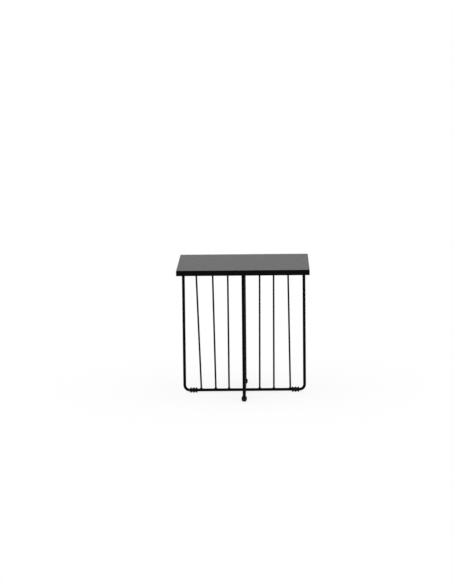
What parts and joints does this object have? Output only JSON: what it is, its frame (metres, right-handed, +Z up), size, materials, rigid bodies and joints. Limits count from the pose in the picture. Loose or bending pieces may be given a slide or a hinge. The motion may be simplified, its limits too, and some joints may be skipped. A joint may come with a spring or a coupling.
{
  "type": "side table",
  "caption": "Small square black side table with a folded sheet-steel top on two crossing bent-rod frames filled with upright wires, standing on ribbed sleeve feet.",
  "frame": {"origin": "on the floor under the middle of the top", "axes": "+Z up, +X to the right along the side frame, +Y to the back along the front-and-back frame"},
  "size_m": [0.45, 0.45, 0.455],
  "materials": {
    "top_coat": "satin fine-texture powder coat",
    "frame_coat": "matt powder coat",
    "foot_rubber": "moulded matt",
    "zinc_steel": "bright zinc plate"
  },
  "bodies": {
    "root": {"table_top": "top_coat", "side_frame": "frame_coat", "front_frame_leg": "frame_coat", "back_frame_leg": "frame_coat", "cross_bar_long": "frame_coat", "cross_bar_front": "frame_coat", "cross_bar_back": "frame_coat", "wire_right_inner": "frame_coat", "wire_right_middle": "frame_coat", "wire_right_outer": "frame_coat", "wire_back_inner": "frame_coat", "wire_back_middle": "frame_coat", "wire_back_outer": "frame_coat", "wire_left_inner": "frame_coat", "wire_left_middle": "frame_coat", "wire_left_outer": "frame_coat", "wire_front_inner": "frame_coat", "wire_front_middle": "frame_coat", "wire_front_outer": "frame_coat", "foot_right": "foot_rubber", "foot_back": "foot_rubber", "foot_left": "foot_rubber", "foot_front": "foot_rubber", "top_studs": "zinc_steel", "stud_washers": "zinc_steel", "stud_nuts": "zinc_steel"}
  },
  "joints": []
}
